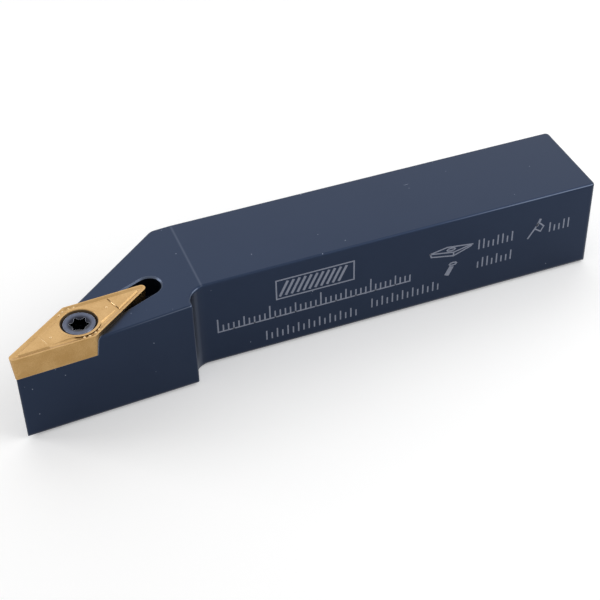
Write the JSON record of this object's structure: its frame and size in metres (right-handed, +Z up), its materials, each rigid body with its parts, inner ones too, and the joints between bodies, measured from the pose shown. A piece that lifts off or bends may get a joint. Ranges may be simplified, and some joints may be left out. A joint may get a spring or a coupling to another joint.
{
  "type": "turning tool holder",
  "caption": "Right-hand square-shank turning tool holder with an offset head, a sharp gold rhombic indexable insert and a countersunk clamp screw.",
  "frame": {"origin": "middle of the shank's clamping length, on its bottom seat and its centre plane", "axes": "+X from the tail end to the cutting nose, +Y to the cutting side, +Z up out of the top face"},
  "size_m": [0.1143, 0.0254, 0.0191],
  "materials": {
    "blackened_steel": "black oxide on milled steel, satin blue-black",
    "coated_carbide": "titanium nitride coating on pressed carbide, satin gold",
    "screw_steel": "hardened alloy steel, dark satin"
  },
  "bodies": {
    "holder": {"tool_holder": "blackened_steel", "cutting_insert": "coated_carbide"},
    "screw": {"clamp_screw": "screw_steel"}
  },
  "joints": [
    {"name": "screw_turn", "type": "hinge", "parent": "holder", "child": "screw", "pos_m": [0.06176, 0.01046, 0.01905], "axis": [0, 0, 1], "range_deg": [0, 2520]}
  ]
}
